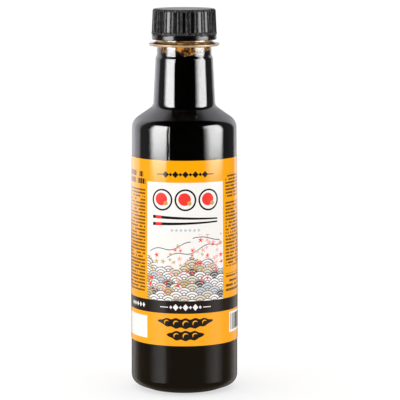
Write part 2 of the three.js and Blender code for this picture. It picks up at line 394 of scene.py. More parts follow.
def body_corners(sizes):
    """Base, body, shoulder and neck, from the axis up to the step under the collar."""
    return [
        (0.0, sizes.push_up_height, 0.0),
        (sizes.push_up_radius, sizes.push_up_height, sizes.push_up_round),
        (sizes.stand_inner_radius, 0.0, sizes.stand_inner_round),
        (sizes.stand_radius, 0.0, sizes.stand_round),
        (sizes.base_radius, sizes.heel_rise, sizes.heel_round),
        (sizes.belly_radius, sizes.belly_height, sizes.belly_round),
        (sizes.shoulder_radius, sizes.shoulder_height, sizes.shoulder_round),
        (sizes.neck_foot_radius, sizes.neck_foot_height, sizes.neck_foot_round),
        (sizes.neck_step_radius, sizes.neck_step_height, sizes.neck_step_round),
    ]


def neck_corners(sizes):
    """Collar, flange, bead and the plain neck that the cap covers."""
    return [
        (sizes.collar_radius, sizes.collar_height, sizes.collar_round),
        (sizes.collar_radius, sizes.flange_underside, 0.0),
        (sizes.flange_radius, sizes.flange_tip_low, sizes.flange_tip_round),
        (sizes.flange_radius, sizes.flange_tip_high, sizes.flange_tip_round),
        (sizes.finish_radius, sizes.finish_foot_height, sizes.finish_foot_round),
        (sizes.finish_radius, sizes.bead_height, sizes.bead_round),
        (sizes.mouth_radius, sizes.bead_height, 0.0),
        (sizes.mouth_radius, sizes.mouth_height, 0.0),
    ]


def bore_corners(sizes):
    """Inside of the neck, from the mouth down."""
    return [
        (sizes.bore_radius, sizes.mouth_height, 0.0),
        (sizes.bore_radius, sizes.bore_foot_height, BORE_FOOT_ROUND),
    ]


def body_radius(sizes, height):
    """Radius of the body's wall at a height, along the straight stretches between its corners."""
    heights = [sizes.heel_rise, sizes.belly_height, sizes.shoulder_height]
    return np.interp(height, heights, [sizes.base_radius, sizes.belly_radius, sizes.shoulder_radius])


# Material nodes

# Numbers of the colour sockets on a mix node, which share their names with its other sockets
MIX_SHARE, MIX_BELOW, MIX_ABOVE = 0, 6, 7
MIX_COLOUR = 2


class Shades:
    """Shorthand for the nodes of a material, lamp or world. Each call adds one and gives its output."""

    def __init__(self, owner):
        self.owner = owner
        owner.use_nodes = True
        self.tree = owner.node_tree
        self.shader = self.tree.nodes.get("Principled BSDF")

    def feed(self, socket, value):
        """Links an output to a socket, or sets the socket's own value."""
        if isinstance(value, bpy.types.NodeSocket):
            self.tree.links.new(value, socket)
        elif isinstance(value, Color):
            socket.default_value = (*value, 1.0)
        else:
            socket.default_value = value

    def node(self, kind, inputs=None, **settings):
        """A node with its settings and its inputs by name."""
        made = self.tree.nodes.new(kind)
        for key, value in settings.items():
            setattr(made, key, value)
        for key, value in (inputs or {}).items():
            self.feed(made.inputs[key], value)
        return made

    def sum(self, operation, *terms):
        """One step of arithmetic on numbers."""
        made = self.node("ShaderNodeMath", operation=operation)
        for socket, term in zip(made.inputs, terms):
            self.feed(socket, term)
        return made.outputs[0]

    def arrow(self, operation, *terms, output="Vector"):
        """One step of arithmetic on vectors."""
        made = self.node("ShaderNodeVectorMath", operation=operation)
        for socket, term in zip(made.inputs, terms):
            self.feed(socket, term)
        return made.outputs[output]

    def pair(self, across, up):
        """Two numbers as a vector."""
        return self.node("ShaderNodeCombineXYZ", {"X": across, "Y": up}).outputs[0]

    def blend(self, below, above, share):
        """The upper colour over the lower one, by its share."""
        made = self.node("ShaderNodeMix", data_type="RGBA")
        self.feed(made.inputs[MIX_SHARE], share)
        self.feed(made.inputs[MIX_BELOW], below)
        self.feed(made.inputs[MIX_ABOVE], above)
        return made.outputs[MIX_COLOUR]

    def noise(self, place, scale, detail=2.0):
        """Soft noise from 0 to 1."""
        inputs = {"Vector": place, "Scale": scale, "Detail": detail}
        return self.node("ShaderNodeTexNoise", inputs).outputs[0]

    def stretch(self, value, low, high):
        """A number from 0 to 1 spread over a range."""
        inputs = {"Value": value, "To Min": low, "To Max": high}
        return self.node("ShaderNodeMapRange", inputs).outputs[0]

    def soft(self, value, low, high):
        """Smooth step from 0 at low to 1 at high."""
        inputs = {"Value": value, "From Min": low, "From Max": high}
        return self.node("ShaderNodeMapRange", inputs, interpolation_type="SMOOTHSTEP").outputs[0]

    def window(self, value, rise, fall):
        """Smooth step up times a smooth step down. Each pair says where its step is 0 and where it is 1."""
        return self.sum("MULTIPLY", self.soft(value, *rise), self.soft(value, *fall))

    def place(self):
        """Object coordinates, in metres."""
        return self.node("ShaderNodeTexCoord").outputs["Object"]

    def parts(self, vector):
        """The outputs X, Y and Z of a vector."""
        return self.node("ShaderNodeSeparateXYZ", {"Vector": vector}).outputs

    def scaled(self, place, up):
        """A place with its height scaled, which draws a pattern out or flattens it."""
        inputs = {"Vector": place, "Scale": (1.0, 1.0, up)}
        return self.node("ShaderNodeMapping", inputs).outputs[0]

    def bump(self, height, strength, depth):
        """Fine relief for the shader's normal."""
        inputs = {"Height": height, "Strength": strength, "Distance": depth}
        self.feed(self.shader.inputs["Normal"], self.node("ShaderNodeBump", inputs).outputs[0])

    def finish(self, **values):
        """Sets the shader's own inputs, with underscores for spaces."""
        for key, value in values.items():
            self.feed(self.shader.inputs[key.replace("_", " ")], value)
        return self.owner


def grey(level):
    """A plain grey."""
    return (level, level, level, 1.0)


def paler(colour, times):
    """A colour made brighter."""
    return (*[min(1.0, times * part) for part in colour], 1.0)


CLEAR_TINT = (0.985, 0.988, 0.985, 1.0)
# Painted light: the warm tint on the flange's rim stands in for light refracted through the clear rim
RIM_PAINTED_LIGHT_TINT = (0.90, 0.63, 0.34, 1.0)
PLASTIC_IOR = 1.57
FULL_GLOSS = 0.5
COLLAR_GLOSS = 0.32
WALL_HAZE = (0.035, 0.075)
COLLAR_HAZE = 0.035
RIM_HAZE = 0.22
RIM_CLEARNESS = 0.6


def clear_plastic(sizes):
    """Clear blown plastic: faintly wavy, with a little haze. The thick collar is hazier and duller, and
    the flange's rim is hazy and partly opaque, with a warm tint that is painted light: it stands in for
    the light that the clear rim refracts."""
    shades = Shades(bpy.data.materials.new("clear_plastic"))
    place = shades.place()
    up = shades.parts(place)["Z"]
    far = shades.arrow("LENGTH", shades.arrow("MULTIPLY", place, (1.0, 1.0, 0.0)), output="Value")
    collar = shades.window(up, (sizes.neck_step_height + 0.5 * MM, sizes.collar_height + 0.7 * MM),
                           (sizes.flange_underside + 0.25 * MM, sizes.flange_underside - 0.35 * MM))
    rim = shades.window(up, (sizes.flange_tip_low - 0.15 * MM, sizes.flange_tip_low + 0.05 * MM),
                        (sizes.flange_tip_high, sizes.flange_tip_high - 0.3 * MM))
    outermost = shades.soft(far, sizes.flange_radius - 0.4 * MM, sizes.flange_radius - 0.1 * MM)
    rim = shades.sum("MULTIPLY", rim, outermost)
    haze = shades.stretch(shades.noise(place, 90.0), *WALL_HAZE)
    haze = shades.sum("MULTIPLY_ADD", collar, COLLAR_HAZE, haze)
    haze = shades.sum("MULTIPLY_ADD", rim, RIM_HAZE, haze)
    shades.bump(shades.noise(place, 70.0, 1.0), 0.12, 0.04 * MM)
    gloss = shades.stretch(collar, FULL_GLOSS, COLLAR_GLOSS)
    # The rim's warm base colour is painted light, and its lower transmission lets that tint show
    return shades.finish(Base_Color=shades.blend(CLEAR_TINT, RIM_PAINTED_LIGHT_TINT, rim), Roughness=haze,
                         IOR=PLASTIC_IOR, Specular_IOR_Level=gloss,
                         Transmission_Weight=shades.stretch(rim, 1.0, RIM_CLEARNESS))


def sauce_liquid(sauce):
    """Near-black brown liquid, a shade paler in slow clouds."""
    shades = Shades(bpy.data.materials.new("sauce"))
    cloud = shades.noise(shades.place(), 60.0)
    colour = shades.blend(sauce.sauce_colour, paler(sauce.sauce_colour, 1.5), cloud)
    return shades.finish(Base_Color=colour, Roughness=0.5, Specular_IOR_Level=0.0)


BUBBLE_IOR = 1.3
FILM_IOR = 1.33
FROTH_FADE = 0.6 * MM


def froth_bubble(sauce):
    """Translucent bubbles from brown to amber. The mesh gives each bubble its own tone, and a tone over 1
    takes a painted orange glow that stands in for light coming through the sauce."""
    shades = Shades(bpy.data.materials.new("froth_bubble"))
    tone = shades.node("ShaderNodeAttribute", attribute_name=BUBBLE_TONE_AND_PAINTED_GLOW).outputs["Fac"]
    colour = shades.blend(sauce.froth_dark, sauce.froth_colour, tone)
    # Painted light: a tone over 1 turns a bubble to the painted orange glow
    colour = shades.blend(colour, sauce.froth_painted_glow, shades.sum("GREATER_THAN", tone, 1.0))
    shades.bump(shades.noise(shades.place(), 900.0), 0.3, 0.1 * MM)
    return shades.finish(Base_Color=colour, Roughness=0.12, IOR=BUBBLE_IOR, Transmission_Weight=0.3)


def wet_film(sauce):
    """Froth of fine cells on the sauce, and above it a clear golden film with level streaks."""
    shades = Shades(bpy.data.materials.new("wet_film"))
    place = shades.place()
    streak = shades.soft(shades.noise(shades.scaled(place, 2.6), 330.0, 3.0), 0.5, 0.72)
    film = shades.blend(sauce.film_colour, sauce.film_dark, streak)
    cells = shades.node("ShaderNodeTexVoronoi", {"Vector": place, "Scale": 560.0}).outputs["Distance"]
    froth = shades.blend(sauce.froth_colour, sauce.froth_dark, shades.soft(cells, 0.15, 0.5))
    clear = shades.soft(shades.parts(place)["Z"], sauce.film_foot, sauce.film_foot + FROTH_FADE)
    shades.bump(shades.noise(place, 520.0), 0.4, 0.2 * MM)
    return shades.finish(Base_Color=shades.blend(froth, film, clear), Roughness=0.1, IOR=FILM_IOR,
                         Transmission_Weight=shades.stretch(clear, 0.15, 0.9))


SMOOTH_ROUGHNESS = (0.1, 0.2)
DULL_ROUGHNESS = (0.28, 0.36)
MATT_ROUGHNESS = (0.45, 0.62)
SMOOTH_GLOSS = 0.32
MATT_GLOSS = 0.12


def smooth_plastic(cap, name="smooth_plastic", roughness=SMOOTH_ROUGHNESS):
    """Smooth black plastic with a slightly uneven gloss."""
    shades = Shades(bpy.data.materials.new(name))
    place = shades.place()
    shades.bump(shades.noise(place, 300.0), 0.3, 0.04 * MM)
    wear = shades.stretch(shades.noise(place, 260.0, 4.0), *roughness)
    colour = shades.blend(cap.plastic_colour, paler(cap.plastic_colour, 2.0), shades.noise(place, 500.0))
    return shades.finish(Base_Color=colour, Roughness=wear, Specular_IOR_Level=SMOOTH_GLOSS)


def matt_plastic(cap):
    """Grained charcoal plastic of the ribs and the rim, with the grain drawn out along the ribs."""
    shades = Shades(bpy.data.materials.new("matt_plastic"))
    grain = shades.noise(shades.scaled(shades.place(), 0.4), 1700.0, 3.0)
    shades.bump(grain, 0.6, 0.1 * MM)
    colour = shades.blend(cap.matt_colour, paler(cap.matt_colour, 25.0), shades.soft(grain, 0.42, 0.66))
    wear = shades.stretch(grain, *MATT_ROUGHNESS)
    return shades.finish(Base_Color=colour, Roughness=wear, Specular_IOR_Level=MATT_GLOSS)


# Print of the label, in millimetres along the film from its front and up from the floor

class Press(Shades):
    """Draws marks on the film. A mark is a share from 0 to 1 that says where its ink lies."""

    def __init__(self, owner):
        super().__init__(owner)
        self.spot = self.node("ShaderNodeUVMap", uv_map=LABEL_UV).outputs[0]
        parts = self.parts(self.spot)
        self.across = parts["X"]
        self.up = parts["Y"]

    def both(self, first, *others):
        """Where all marks lie."""
        for other in others:
            first = self.sum("MULTIPLY", first, other)
        return first

    def either(self, first, *others):
        """Where any mark lies."""
        for other in others:
            first = self.sum("MAXIMUM", first, other)
        return first

    def bar(self, left, right, low, high):
        """Rectangle: each coordinate is within half a side of the middle."""
        wide = self.sum("COMPARE", self.across, (left + right) / 2, (right - left) / 2)
        tall = self.sum("COMPARE", self.up, (low + high) / 2, (high - low) / 2)
        return self.both(wide, tall)

    def disc(self, across, up, radius):
        """Disc: the distance to its middle is under the radius."""
        far = self.arrow("DISTANCE", self.spot, (across, up, 0.0), output="Value")
        return self.sum("LESS_THAN", far, radius)

    def lozenge(self, across, up, half_width, half_height):
        """Lozenge: the two distances to its middle, each over its half size, add up to less than one."""
        far = self.arrow("ABSOLUTE", self.arrow("SUBTRACT", self.spot, (across, up, 0.0)))
        total = self.arrow("DOT_PRODUCT", far, (1 / half_width, 1 / half_height, 0.0), output="Value")
        return self.sum("LESS_THAN", total, 1.0)


# A rectangle is its left, right, lower and upper edge
PANEL = (-18.85, 20.2, 45.15, 100.45)
PANEL_MIDDLE = (PANEL[0] + PANEL[1]) / 2
BAND = (39.25, 45.15)
BAND_MIDDLE = (BAND[0] + BAND[1]) / 2
LEFT_BOX = (-50.0, PANEL[0], 26.75, 37.25)
RIGHT_BOX = (24.85, 52.0, 28.5, 38.2)
CODE_BARS = (26.0, 50.0, 29.6, 37.2)
CODE_BAR_WIDTH = 0.42

# Blocks of fine print: the column's left and right edge, the block's lower and upper edge, the pitch of its
# rows and a bar's share of its row
LEFT_COLUMN = (-57.0, -20.2)
RIGHT_COLUMN = (22.1, 60.0)
FINE_ROWS = (1.57, 0.54)
LARGE_ROWS = (3.3, 0.76)
WIDE_ROWS = (2.1, 0.54)
PRINT_BLOCKS = (
    (*LEFT_COLUMN, 98.6, 104.8, *LARGE_ROWS),
    (*LEFT_COLUMN, 48.4, 96.7, *FINE_ROWS),
    (*RIGHT_COLUMN, 92.5, 103.7, *FINE_ROWS),
    (*RIGHT_COLUMN, 60.0, 90.5, *FINE_ROWS),
    (*RIGHT_COLUMN, 55.0, 56.8, *FINE_ROWS),
    (*RIGHT_COLUMN, 47.4, 53.6, *WIDE_ROWS),
)


def small_print(press, left, right, low, high, pitch, inked):
    """Bars in rows that stand for fine print. Inked is a bar's share of its row, and noise along each row
    leaves the gaps between words."""
    row = press.sum("DIVIDE", press.up, pitch)
    number = press.sum("FLOOR", row)
    in_row = press.sum("LESS_THAN", press.sum("FRACT", row), inked)
    along = press.pair(press.sum("MULTIPLY", press.across, 0.9 / pitch), press.sum("MULTIPLY", number, 7.3))
    word = press.sum("GREATER_THAN", press.noise(along, 1.0, 0.0), 0.36)
    stroke = press.sum("FRACT", press.sum("DIVIDE", press.across, 0.52 * pitch))
    return press.both(press.bar(left, right, low, high), in_row, word, press.sum("LESS_THAN", stroke, 0.8))


# Two sticks under the rolls: the height of each at the panel's middle and its slope
STICKS = ((83.9, -0.03), (81.5, 0.03))
STICK_REACH = 16.0
STICK_ENDS = (0.72, 0.36)
GRIP_ENDS = (0.76, 0.76)
GRIP = (1.5, 4.5)
STICK_ROOM = 9.0


def stick(press, left, right, middle, slope, thick, thin):
    """A tapered stick: the height off a sloping line is under a width that shrinks along it."""
    line = press.sum("MULTIPLY_ADD", press.sum("SUBTRACT", press.across, PANEL_MIDDLE), slope, middle)
    off = press.sum("ABSOLUTE", press.sum("SUBTRACT", press.up, line))
    taper = press.node("ShaderNodeMapRange", {"Value": press.across, "From Min": left, "From Max": right,
                                              "To Min": thick, "To Max": thin}).outputs[0]
    room = press.bar(left, right, middle - STICK_ROOM, middle + STICK_ROOM)
    return press.both(press.sum("LESS_THAN", off, taper), room)


# Two bean pods: height, number of beans, their pitch and the pod's half height
PODS = ((34.6, 5, 4.5, 2.55), (28.8, 3, 4.4, 2.45))
POD_BEND = 0.006
POD_TIP = 2.4


def pod(press, across, up, beans, pitch, half_height):
    """Bean pod along an arch: its half height swells with a cosine at each bean and closes towards both
    tips as one less a power of the way from the middle."""
    half = beans * pitch / 2 + POD_TIP
    along = press.sum("SUBTRACT", press.across, across)
    phase = math.pi * (beans + 1)
    swell = press.sum("COSINE", press.sum("MULTIPLY_ADD", along, 2 * math.pi / pitch, phase))
    body = press.sum("MULTIPLY_ADD", swell, 0.13 * half_height, 0.87 * half_height)
    far = press.sum("DIVIDE", press.sum("ABSOLUTE", along), half)
    close = press.sum("MAXIMUM", press.sum("SUBTRACT", 1.0, press.sum("POWER", far, 3.5)), 0.0)
    arch = press.sum("MULTIPLY_ADD", press.sum("MULTIPLY", along, along), POD_BEND, up)
    off = press.sum("ABSOLUTE", press.sum("SUBTRACT", press.up, arch))
    return press.sum("LESS_THAN", off, press.both(body, close))


def shine(press, across, up, radius):
    """Crescent on a bean: a disc without the same disc moved down and aside."""
    moved = press.disc(across + 0.3 * radius, up - 0.42 * radius, radius)
    return press.sum("GREATER_THAN", press.disc(across, up, radius), moved)


def pods(press):
    """Two bean pods, one over the other, and the crescents that shine on their beans."""
    shapes = []
    shines = []
    for up, beans, pitch, half_height in PODS:
        shapes.append(pod(press, PANEL_MIDDLE, up, beans, pitch, half_height))
        for number in range(beans):
            aside = (number - (beans - 1) / 2) * pitch
            size = half_height * (0.56 - 0.012 * abs(aside))
            shines.append(shine(press, PANEL_MIDDLE + aside, up + POD_BEND * aside ** 2, size))
    return press.either(*shapes), press.either(*shines)


FAN_RADIUS = 3.7
FAN_RINGS = 3.0


def waves(press, design):
    """Overlapping fans of rings, the traditional wave pattern. Rows of circles are half a radius apart and
    every other row is shifted by a radius, and the lowest circle that holds a spot lies in front."""
    radius = FAN_RADIUS
    step = radius / 2
    tones = ((0.38, design.wash), (0.58, design.sand), (0.8, design.ochre), (0.88, design.ink))
    row = press.sum("FLOOR", press.sum("DIVIDE", press.up, step))
    colour = design.paper
    for behind in (1.0, 0.0, -1.0):
        number = press.sum("ADD", row, behind)
        shift = press.sum("MULTIPLY", press.sum("FLOORED_MODULO", number, 2.0), radius)
        moved = press.sum("SUBTRACT", press.across, shift)
        aside = press.sum("WRAP", moved, radius, -radius)
        above = press.sum("SUBTRACT", press.up, press.sum("MULTIPLY", number, step))
        far = press.arrow("LENGTH", press.pair(aside, above), output="Value")
        fan = press.sum("SUBTRACT", moved, aside)
        chance = press.node("ShaderNodeTexWhiteNoise", {"Vector": press.pair(fan, number)},
                            noise_dimensions="2D").outputs["Value"]
        fill = design.paper
        for least, tone in tones:
            fill = press.blend(fill, tone, press.sum("GREATER_THAN", chance, least))
        rings = press.sum("FRACT", press.sum("DIVIDE", far, radius / FAN_RINGS))
        drawn = press.blend(fill, design.ink, press.sum("GREATER_THAN", rings, 0.72))
        drawn = press.blend(drawn, design.paper, press.sum("COMPARE", rings, 0.64, 0.08))
        colour = press.blend(colour, drawn, press.sum("LESS_THAN", far, radius))
    return colour


# Layers of leaves: size, shift of the cells and share of cells with a leaf
LEAF_LAYERS = ((3.5, 3.1, 0.62), (2.5, 11.7, 0.34))
DRIFT_HEIGHT = 62.0
DRIFT_SLOPE = 0.42
DRIFT_EDGE = (15.0, 3.0)


def leaves(press, below, design, size, moved_by, crowd):
    """Five-pointed leaves scattered on a cell pattern along a rising drift: a spot is in a leaf where its
    distance to the cell's middle is under a radius that peaks five times round. Crowd is the share of cells
    with a leaf in the middle of the drift."""
    moved = press.arrow("ADD", press.spot, (moved_by, 1.7 * moved_by, 0.0))
    cells = press.node("ShaderNodeTexVoronoi", {"Vector": moved, "Scale": 1.0 / size, "Randomness": 0.8},
                       voronoi_dimensions="2D")
    middle = cells.outputs["Position"]
    away = press.parts(press.arrow("SUBTRACT", moved, middle))
    chance = press.node("ShaderNodeSeparateColor", {"Color": cells.outputs["Color"]}).outputs
    way = press.sum("ARCTAN2", away["Y"], away["X"])
    turned_way = press.sum("MULTIPLY_ADD", way, 2.5, press.sum("MULTIPLY", chance["Blue"], 3.0))
    point = press.sum("SUBTRACT", 1.0, press.sum("ABSOLUTE", press.sum("SINE", turned_way)))
    edge = press.sum("MULTIPLY_ADD", point, 0.28 * size, 0.13 * size)
    far = press.arrow("DISTANCE", moved, middle, output="Value")
    drift = press.sum("MULTIPLY_ADD", press.across, DRIFT_SLOPE, DRIFT_HEIGHT)
    off = press.sum("ABSOLUTE", press.sum("SUBTRACT", press.up, drift))
    share = press.sum("MULTIPLY", press.soft(off, *DRIFT_EDGE), crowd)
    present = press.sum("LESS_THAN", chance["Red"], share)
    tone = press.blend(design.pink, design.red, press.sum("GREATER_THAN", chance["Green"], 0.5))
    tone = press.blend(tone, design.ochre, press.sum("GREATER_THAN", chance["Green"], 0.8))
    return press.blend(below, tone, press.both(press.sum("LESS_THAN", far, edge), present))


PICTURE_TOP = 76.4

# Lines of the breeze: height at the left end, slope, radians of wave per millimetre, height of the wave and
# the left and right end
BREEZES = (
    (68.0, 0.20, 0.42, 1.0, -17.0, 3.0),
    (65.5, 0.26, 0.42, 1.0, -8.0, 19.0),
    (74.6, -0.04, 0.36, 0.7, 4.0, 18.0),
)
BREEZE_HALF_WIDTH = 0.2

# Upper edge of the waves: its middle height, and sines of radians per millimetre and height
SEA_HEIGHT = 63.0
SWELLS = ((0.23, 2.4), (0.61, 1.3))


def sine(press, along, wave, reach, middle):
    """A middle height with a sine along the film added."""
    return press.sum("MULTIPLY_ADD", press.sum("SINE", press.sum("MULTIPLY", along, wave)), reach, middle)


def breeze(press, start, slope, wave, reach, left, right):
    """A thin drawn line: the height off a line that waves like a sine is under half its width."""
    along = press.sum("SUBTRACT", press.across, left)
    line = sine(press, along, wave, reach, press.sum("MULTIPLY_ADD", along, slope, start))
    off = press.sum("ABSOLUTE", press.sum("SUBTRACT", press.up, line))
    room = press.bar(left, right, PANEL[2], PICTURE_TOP + 2)
    return press.both(press.sum("LESS_THAN", off, BREEZE_HALF_WIDTH), room)


def panel_picture(press, design):
    """White panel with leaves on a breeze over a field of waves."""
    lines = press.either(*[breeze(press, *line) for line in BREEZES])
    colour = press.blend(design.paper, design.ink, lines)
    crest = SEA_HEIGHT
    for wave, reach in SWELLS:
        crest = sine(press, press.across, wave, reach, crest)
    colour = press.blend(colour, waves(press, design), press.sum("LESS_THAN", press.up, crest))
    scattered = colour
    for layer in LEAF_LAYERS:
        scattered = leaves(press, scattered, design, *layer)
    return press.blend(colour, scattered, press.sum("LESS_THAN", press.up, PICTURE_TOP))


ROLL_HEIGHT = 92.4
ROLL_PITCH = 11.2
ROLL_RADIUS = 5.1


def roll_motif(press, colour, design, across):
    """A rice roll seen from its end: a black wrapper, white rice and a red and ochre filling. Each layer
    is a disc, with its place and radius as shares of the roll's radius."""
    layers = ((design.black, 0.0, 0.0, 1.0), (design.paper, 0.0, 0.0, 0.84),
              (design.red, -0.08, 0.06, 0.58), (design.ochre, 0.36, -0.3, 0.2))
    for tone, *shares in layers:
        aside, above, radius = [share * ROLL_RADIUS for share in shares]
        colour = press.blend(colour, tone, press.disc(across + aside, ROLL_HEIGHT + above, radius))
    return colour


def lozenges(press, up, each_side, pitch, large, small, slim=1.0):
    """Row of lozenges about the panel's middle, large and small in turn. Slim is a lozenge's width over its
    height."""
    marks = []
    for number in range(-each_side, each_side + 1):
        size = large if number % 2 == 0 else small
        marks.append(press.lozenge(PANEL_MIDDLE + pitch * number, up, slim * size, size))
    return press.either(*marks)


def rules(press, starts, reach, up, half_width):
    """Level lines of one length, from each start."""
    return press.either(*[press.bar(start, start + reach, up - half_width, up + half_width)
                          for start in starts])


def panel_motifs(press, colour, design):
    """Three rice rolls over a pair of sticks and a short row of grey lozenges."""
    for number in (-1, 0, 1):
        colour = roll_motif(press, colour, design, PANEL_MIDDLE + ROLL_PITCH * number)
    left = PANEL_MIDDLE - STICK_REACH
    right = PANEL_MIDDLE + STICK_REACH
    for middle, slope in STICKS:
        colour = press.blend(colour, design.black, stick(press, left, right, middle, slope, *STICK_ENDS))
        grip = stick(press, left + GRIP[0], left + GRIP[1], middle, slope, *GRIP_ENDS)
        colour = press.blend(colour, design.red, grip)
    return press.blend(colour, design.wash, lozenges(press, 78.3, 3, 2.1, 0.8, 0.8))


HEADING_HEIGHT = 104.25
SIDE_LOZENGES = tuple(-21.2 - 2.3 * number for number in range(5))


def heading(press):
    """A line of large and small lozenges between two rules, above the panel."""
    row = lozenges(press, HEADING_HEIGHT, 4, 2.35, 1.6, 0.9)
    return press.either(row, rules(press, (-13.2, 10.8), 3.8, HEADING_HEIGHT, 0.25))


def band_ornament(press):
    """White lozenges and rules on the black band, and a row of lozenges towards its left."""
    row = lozenges(press, BAND_MIDDLE, 3, 2.3, 1.6, 0.8, 0.85)
    beside = [press.lozenge(across, BAND_MIDDLE, 0.9, 1.2) for across in SIDE_LOZENGES]
    return press.either(row, rules(press, (-11.5, 9.0), 3.9, BAND_MIDDLE, 0.2), *beside)


def code_bars(press):
    """Plain upright bars of uneven width in the right-hand box: cells across it are inked by chance."""
    cell = press.sum("FLOOR", press.sum("DIVIDE", press.across, CODE_BAR_WIDTH))
    chance = press.node("ShaderNodeTexWhiteNoise", {"W": cell}, noise_dimensions="1D").outputs["Value"]
    return press.both(press.sum("GREATER_THAN", chance, 0.24), press.bar(*CODE_BARS))


FIELD_FADE = (90.0, 45.0)
FILM_ROUGHNESS = (0.05, 0.09)


def label_print(design):
    """The film's print: an orange field, small print, a white panel with its picture, a black band, white
    boxes and two bean pods, each laid over the one before. The film itself is glossy."""
    press = Press(bpy.data.materials.new("label_print"))
    grain = press.noise(press.place(), 700.0)
    field = press.blend(design.field, design.low_field, press.soft(press.up, *FIELD_FADE))
    field = press.blend(field, design.low_field, press.sum("MULTIPLY", grain, 0.2))
    columns = press.either(*[small_print(press, *block) for block in PRINT_BLOCKS])
    colour = press.blend(field, design.black, press.either(columns, heading(press)))
    panel = panel_motifs(press, panel_picture(press, design), design)
    colour = press.blend(colour, panel, press.bar(*PANEL))
    on_band = press.sum("COMPARE", press.up, BAND_MIDDLE, (BAND[1] - BAND[0]) / 2)
    colour = press.blend(colour, design.black, on_band)
    boxes = press.either(press.bar(*LEFT_BOX), press.bar(*RIGHT_BOX))
    colour = press.blend(colour, design.paper, press.either(boxes, band_ornament(press)))
    shapes, shines = pods(press)
    colour = press.blend(colour, design.black, press.either(code_bars(press), shapes))
    colour = press.blend(colour, field, press.both(shapes, shines))
    press.bump(press.noise(press.place(), 130.0, 1.0), 0.2, 0.05 * MM)
    wear = press.stretch(grain, *FILM_ROUGHNESS)
    return press.finish(Base_Color=colour, Roughness=wear, Specular_IOR_Level=FULL_GLOSS)


# Operators, one for each piece and one for the stage

def settings():
    """The bottle's settings in this scene."""
    return bpy.context.scene.soy_bottle


BODY_COLUMNS = 256
SEAM_SAMPLES = 17
SEAM_REACH = 2.5


class SOY_OT_clear_bottle(bpy.types.Operator):
    """Turns the clear bottle's outside and inside as one closed wall"""

    bl_idname = "soy_bottle.clear_bottle"
    bl_label = "Clear Bottle"

    def execute(self, context):
        sizes = settings().bottle
        inside = offset_corners(body_corners(sizes), sizes.wall)[::-1].tolist()
        corners = [*body_corners(sizes), *neck_corners(sizes), *bore_corners(sizes), *inside]
        profile = outline(corners)
        angle = self.columns(sizes)
        low = sizes.heel_rise + 2 * sizes.heel_round
        high = sizes.shoulder_height - 0.3 * sizes.shoulder_round
        before_mouth = np.arange(len(profile)) < np.argmax(profile[:, 1])
        on_wall = before_mouth & (profile[:, 1] > low) & (profile[:, 1] < high)
        radius = profile[:, :1] + on_wall[:, None] * self.seams(sizes, angle)
        surface = swept(radius, profile[:, 1:], angle)
        piece = make_piece("clear_bottle", surface, clear_plastic(sizes))
        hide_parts("bottle")
        return {"FINISHED"}

    def columns(self, sizes):
        """Angles of the columns, which lie closer together at the two mould seams."""
        close = np.linspace(-SEAM_REACH, SEAM_REACH, SEAM_SAMPLES) * sizes.seam_width / sizes.belly_radius
        seams = sizes.seam_facing + np.array([[0.0], [math.pi]]) + close
        return np.unique(np.concatenate([around(BODY_COLUMNS), seams.ravel() % (2 * math.pi)]))

    def seams(self, sizes, angle):
        """Height of the seams at each angle: a bell curve of the way along the wall to the nearer of two
        seams that face away from each other."""
        off = (angle - sizes.seam_facing + math.pi / 2) % math.pi - math.pi / 2
        return sizes.seam_height * np.exp(-(off * sizes.belly_radius / sizes.seam_width) ** 2)


# Clusters of bubbles round the neck: facing and spread in degrees, depth in millimetres and share of bubbles
FROTH_CLUSTERS = np.array([
    (7.0, 24.0, 3.2, 0.38),
    (-52.0, 11.0, 2.3, 0.16),
    (60.0, 16.0, 1.2, 0.14),
    (130.0, 22.0, 2.0, 0.15),
    (-140.0, 25.0, 2.4, 0.17),
])
NECK_ROWS = 28
SURFACE_RINGS = 14
CLIMB_LENGTH = 1.2 * MM
FROTH_EDGE = 0.8 * MM


def froth_foot(sauce, angle):
    """Height of the sauce's edge on the wall: the climbing surface, less a bell curve under each cluster of
    bubbles round the neck."""
    edge = np.full_like(angle, sauce.level + sauce.meniscus)
    for facing, spread, depth in FROTH_CLUSTERS[:, :3]:
        off = (np.degrees(angle) - facing + 180.0) % 360.0 - 180.0
        edge -= depth * MM * np.exp(-np.abs(off / spread) ** 3)
    return edge


class SOY_OT_sauce(bpy.types.Operator):
    """Fills the bottle with sauce that reaches just into the wall, so that no air gap shows"""

    bl_idname = "soy_bottle.sauce"
    bl_label = "Soy Sauce"

    def execute(self, context):
        sizes = settings().bottle
        sauce = settings().sauce
        body = offset_corners(body_corners(sizes), sizes.wall - sauce.reach).tolist()
        neck_radius = sizes.bore_radius + sauce.reach
        bore = [(neck_radius, sizes.bore_foot_height, BORE_FOOT_ROUND)]
        wall = outline([*body, *bore, (neck_radius, sauce.level + sauce.meniscus, 0.0)])
        upper = wall[wall[:, 1] > sizes.neck_foot_height]
        up = np.linspace(sizes.neck_step_height, upper[-1, 1], NECK_ROWS)
        neck = np.column_stack([np.interp(up, upper[:, 1], upper[:, 0]), up])
        share = np.linspace(1.0, 0.0, SURFACE_RINGS)[1:, None]
        climb = np.exp(-(1.0 - share) * neck_radius / CLIMB_LENGTH)
        surface = np.hstack([share * neck_radius, sauce.level + sauce.meniscus * climb])
        profile = np.vstack([wall[wall[:, 1] < up[0]], neck, surface])
        angle = around(BODY_COLUMNS)
        foot = froth_foot(sauce, angle)
        back_off = sauce.froth_depth * ease(foot, foot + FROTH_EDGE, profile[:, 1:])
        radius = profile[:, :1] - back_off * np.minimum(profile[:, :1] / neck_radius, 1.0)
        height = profile[:, 1:] + np.zeros(BODY_COLUMNS)
        piece = make_piece("soy_sauce_fill", swept(radius, height, angle), sauce_liquid(sauce))
        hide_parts("soy_sauce")
        return {"FINISHED"}


def neck_inside(sizes, height):
    """Radius of the neck's inside near the sauce's level: straight in the bore and sloping out below it."""
    heights = [sizes.neck_step_height, sizes.bore_foot_height]
    return np.interp(height, heights, [sizes.neck_step_radius - sizes.wall, sizes.bore_radius])


